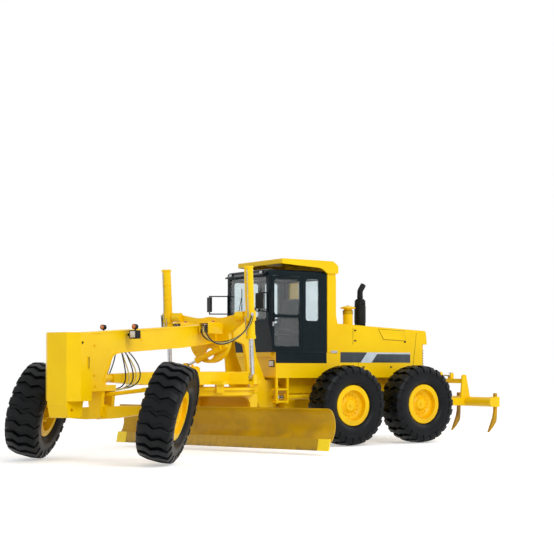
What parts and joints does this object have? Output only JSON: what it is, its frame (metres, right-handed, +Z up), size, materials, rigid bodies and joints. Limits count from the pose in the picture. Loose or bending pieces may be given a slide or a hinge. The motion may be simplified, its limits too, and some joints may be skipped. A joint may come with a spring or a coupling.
{
  "type": "motor grader",
  "caption": "Articulated motor grader with a gooseneck frame, leaning front wheels, a curved blade on a toothed circle, a dark cab, tandem wheels and a rear ripper.",
  "frame": {"origin": "centre of the bounding box in plan, on the ground under the tyres", "axes": "+X towards the front along the rear frame, +Y to the operator's left, +Z up"},
  "size_m": [11.5736, 5.9248, 3.6911],
  "materials": {
    "yellow_paint": "gloss machine enamel",
    "wheel_paint": "gloss enamel, dusty",
    "dark_paint": "satin dark enamel",
    "black_steel": "heat-proof black",
    "worn_steel": "wear edge, scraped",
    "chrome_rod": "polished cylinder rod",
    "cast_steel": "raw forged shank",
    "tyre_rubber": "matt black rubber",
    "glass": "lightly tinted safety glass",
    "seat_fabric": "woven black cloth",
    "cab_plastic": "grained dark plastic",
    "lamp_lens": "clear lens in a dark shell"
  },
  "bodies": {
    "chassis": {"rear_frame": "yellow_paint", "tandem_axle": "yellow_paint", "engine_block": "cast_steel", "platform": "yellow_paint", "hood": "yellow_paint", "radiator_grille": "black_steel", "cab_frame": "dark_paint", "cab_glass": "glass", "canopy": "yellow_paint", "operator_seat": "seat_fabric", "steering_console": "cab_plastic", "exhaust_stack": "black_steel", "air_precleaner": "yellow_paint", "mirrors": "black_steel", "ripper_mount": "yellow_paint"},
    "front": {"front_frame": "yellow_paint", "push_block": "yellow_paint", "lifter_ring": "yellow_paint", "lift_cylinders": "yellow_paint", "head_lamps": "lamp_lens", "front_axle": "yellow_paint"},
    "lean_bracket_left": {"lean_bracket_left": "yellow_paint"},
    "knuckle_left": {"knuckle_left": "yellow_paint"},
    "wheel_front_left": {"tyre_front_left": "tyre_rubber", "rim_front_left": "wheel_paint"},
    "lean_bracket_right": {"lean_bracket_right": "yellow_paint"},
    "knuckle_right": {"knuckle_right": "yellow_paint"},
    "wheel_front_right": {"tyre_front_right": "tyre_rubber", "rim_front_right": "wheel_paint"},
    "lean_bar": {"lean_bar": "yellow_paint"},
    "tie_rod": {"tie_rod": "yellow_paint"},
    "drawbar": {"drawbar": "yellow_paint"},
    "lift_rod_left": {"lift_rod_left": "chrome_rod"},
    "lift_rod_right": {"lift_rod_right": "chrome_rod"},
    "side_shift_cylinder": {"side_shift_cylinder": "yellow_paint"},
    "side_shift_rod": {"side_shift_rod": "chrome_rod"},
    "circle": {"circle": "yellow_paint"},
    "tip_frame": {"tip_frame": "yellow_paint"},
    "moldboard": {"moldboard": "yellow_paint", "cutting_edge": "worn_steel"},
    "articulation_cylinder_left": {"articulation_cylinder_left": "yellow_paint"},
    "articulation_rod_left": {"articulation_rod_left": "chrome_rod"},
    "articulation_cylinder_right": {"articulation_cylinder_right": "yellow_paint"},
    "articulation_rod_right": {"articulation_rod_right": "chrome_rod"},
    "ripper": {"ripper_frame": "yellow_paint", "ripper_shanks": "cast_steel"},
    "ripper_cylinder": {"ripper_cylinder": "yellow_paint"},
    "ripper_rod": {"ripper_rod": "chrome_rod"},
    "cab_door_left": {"cab_door_left": "dark_paint", "door_glass_left": "glass"},
    "cab_door_right": {"cab_door_right": "dark_paint", "door_glass_right": "glass"},
    "wheel_middle_left": {"tyre_middle_left": "tyre_rubber", "rim_middle_left": "wheel_paint"},
    "wheel_middle_right": {"tyre_middle_right": "tyre_rubber", "rim_middle_right": "wheel_paint"},
    "wheel_rear_left": {"tyre_rear_left": "tyre_rubber", "rim_rear_left": "wheel_paint"},
    "wheel_rear_right": {"tyre_rear_right": "tyre_rubber", "rim_rear_right": "wheel_paint"}
  },
  "joints": [
    {"name": "articulation", "type": "hinge", "parent": "chassis", "child": "front", "pos_m": [-0.51694, -1.36101, 1], "axis": [0, 0, 1], "range_deg": [-52, 0]},
    {"name": "lean_left", "type": "hinge", "parent": "front", "child": "lean_bracket_left", "pos_m": [3.96955, 2.0666, 0.87736], "axis": [-0.8988, -0.4384, 0], "range_deg": [-37.46, 2.54]},
    {"name": "steer_left", "type": "hinge", "parent": "lean_bracket_left", "child": "knuckle_left", "pos_m": [3.93144, 2.14474, 0.85407], "axis": [-0.1135, 0.2326, 0.9659], "range_deg": [-58, 18]},
    {"name": "front_wheel_left", "type": "hinge", "parent": "knuckle_left", "child": "wheel_front_left", "pos_m": [3.86444, 2.208, 0.83096], "axis": [-0.7053, 0.6659, -0.2432], "continuous": true},
    {"name": "lean_right", "type": "hinge", "parent": "front", "child": "lean_bracket_right", "pos_m": [4.94622, 0.06414, 0.7816], "axis": [-0.8988, -0.4384, 0], "range_deg": [-37.46, 2.54]},
    {"name": "steer_right", "type": "hinge", "parent": "lean_bracket_right", "child": "knuckle_right", "pos_m": [4.98432, -0.014, 0.80489], "axis": [-0.1135, 0.2326, 0.9659], "range_deg": [-58, 18]},
    {"name": "front_wheel_right", "type": "hinge", "parent": "knuckle_right", "child": "wheel_front_right", "pos_m": [5.05133, -0.07725, 0.828], "axis": [-0.7053, 0.6659, -0.2432], "continuous": true},
    {"name": "lean_bar_pivot", "type": "hinge", "parent": "lean_bracket_left", "child": "lean_bar", "pos_m": [4.02247, 1.9581, 1.19958], "axis": [-0.8988, -0.4384, 0], "range_deg": [-3.58, 45.94]},
    {"name": "tie_rod_slide", "type": "slide", "parent": "front", "child": "tie_rod", "axis": [-0.438, 0.898, 0.0429], "range_m": [-0.046, 0.1437]},
    {"name": "drawbar_lift", "type": "hinge", "parent": "front", "child": "drawbar", "pos_m": [4.47136, 1.07195, 1.37], "axis": [-0.4384, 0.8988, 0], "range_deg": [-8, 6.9]},
    {"name": "lift_rod_slide_left", "type": "slide", "parent": "front", "child": "lift_rod_left", "axis": [-0.0616, -0.0301, -0.9976], "range_m": [-0.402, 0.4658]},
    {"name": "lift_rod_slide_right", "type": "slide", "parent": "front", "child": "lift_rod_right", "axis": [-0.0616, -0.0301, -0.9976], "range_m": [-0.402, 0.4658]},
    {"name": "side_shift_pivot", "type": "hinge", "parent": "front", "child": "side_shift_cylinder", "pos_m": [1.41067, 0.00193, 1.94], "axis": [0.8988, 0.4384, 0], "range_deg": [-23.27, 26.9]},
    {"name": "side_shift_slide", "type": "slide", "parent": "side_shift_cylinder", "child": "side_shift_rod", "axis": [0.4027, -0.8256, -0.3953], "range_m": [-0.1706, 0.1975]},
    {"name": "circle_turn", "type": "hinge", "parent": "drawbar", "child": "circle", "pos_m": [1.51433, -0.37029, 1.18], "axis": [0, 0, -1], "range_deg": [-35, 45]},
    {"name": "blade_tip", "type": "hinge", "parent": "circle", "child": "tip_frame", "pos_m": [1.20625, -0.48856, 0.395], "axis": [-0.3584, 0.9336, 0], "range_deg": [-5, 40]},
    {"name": "blade_side_shift", "type": "slide", "parent": "tip_frame", "child": "moldboard", "axis": [-0.3584, 0.9336, 0], "range_m": [-0.8, 0.4]},
    {"name": "articulation_pivot_left", "type": "hinge", "parent": "chassis", "child": "articulation_cylinder_left", "pos_m": [-1.21694, -0.85601, 0.96], "axis": [0, 0, 1], "range_deg": [-11.61, 0.5]},
    {"name": "articulation_slide_left", "type": "slide", "parent": "articulation_cylinder_left", "child": "articulation_rod_left", "axis": [0.9992, -0.0397, 0], "range_m": [-0.002, 0.3906]},
    {"name": "articulation_pivot_right", "type": "hinge", "parent": "chassis", "child": "articulation_cylinder_right", "pos_m": [-1.21694, -1.86601, 0.96], "axis": [0, 0, 1], "range_deg": [-14.07, 0.5]},
    {"name": "articulation_slide_right", "type": "slide", "parent": "articulation_cylinder_right", "child": "articulation_rod_right", "axis": [0.9679, 0.2513, 0], "range_m": [-0.3549, 0.002]},
    {"name": "ripper_lift", "type": "hinge", "parent": "chassis", "child": "ripper", "pos_m": [-4.28094, -1.36101, 0.8], "axis": [0, 1, 0], "range_deg": [-22, 14]},
    {"name": "ripper_pivot", "type": "hinge", "parent": "chassis", "child": "ripper_cylinder", "pos_m": [-4.24694, -1.36101, 1.39], "axis": [0, 1, 0], "range_deg": [-21.12, 13.62]},
    {"name": "ripper_slide", "type": "slide", "parent": "ripper_cylinder", "child": "ripper_rod", "axis": [-1, 0, 0], "range_m": [-0.1438, 0.2248]},
    {"name": "cab_door_hinge_left", "type": "hinge", "parent": "chassis", "child": "cab_door_left", "pos_m": [-0.81494, -0.61101, 2.6], "axis": [0, 0, 1], "range_deg": [0, 80]},
    {"name": "cab_door_hinge_right", "type": "hinge", "parent": "chassis", "child": "cab_door_right", "pos_m": [-0.81494, -2.11101, 2.6], "axis": [0, 0, -1], "range_deg": [0, 80]},
    {"name": "middle_wheel_left", "type": "hinge", "parent": "chassis", "child": "wheel_middle_left", "pos_m": [-1.49694, -0.06101, 0.8], "axis": [0, 1, 0], "continuous": true},
    {"name": "middle_wheel_right", "type": "hinge", "parent": "chassis", "child": "wheel_middle_right", "pos_m": [-1.49694, -2.66101, 0.8], "axis": [0, 1, 0], "continuous": true},
    {"name": "rear_wheel_left", "type": "hinge", "parent": "chassis", "child": "wheel_rear_left", "pos_m": [-3.33694, -0.06101, 0.8], "axis": [0, 1, 0], "continuous": true},
    {"name": "rear_wheel_right", "type": "hinge", "parent": "chassis", "child": "wheel_rear_right", "pos_m": [-3.33694, -2.66101, 0.8], "axis": [0, 1, 0], "continuous": true}
  ],
  "couplings": [
    {"joint": "lean_right", "follows": "lean_left", "ratio": 1},
    {"joint": "steer_right", "follows": "steer_left", "ratio": 1},
    {"joint": "lean_bar_pivot", "follows": "lean_left", "ratio": -1.2131},
    {"joint": "tie_rod_slide", "follows": "steer_left", "m_per_rad": -0.14},
    {"joint": "lift_rod_slide_left", "follows": "drawbar_lift", "m_per_rad": -3.3217},
    {"joint": "lift_rod_slide_right", "follows": "drawbar_lift", "m_per_rad": -3.3217},
    {"joint": "side_shift_pivot", "follows": "drawbar_lift", "ratio": -3.3},
    {"joint": "side_shift_slide", "follows": "drawbar_lift", "m_per_rad": -1.4},
    {"joint": "articulation_pivot_left", "follows": "articulation", "ratio": 0.21358},
    {"joint": "articulation_slide_left", "follows": "articulation", "m_per_rad": -0.42816},
    {"joint": "articulation_pivot_right", "follows": "articulation", "ratio": 0.26093},
    {"joint": "articulation_slide_right", "follows": "articulation", "m_per_rad": 0.38883},
    {"joint": "ripper_pivot", "follows": "ripper_lift", "ratio": 0.93712},
    {"joint": "ripper_slide", "follows": "ripper_lift", "m_per_rad": -0.58013}
  ]
}
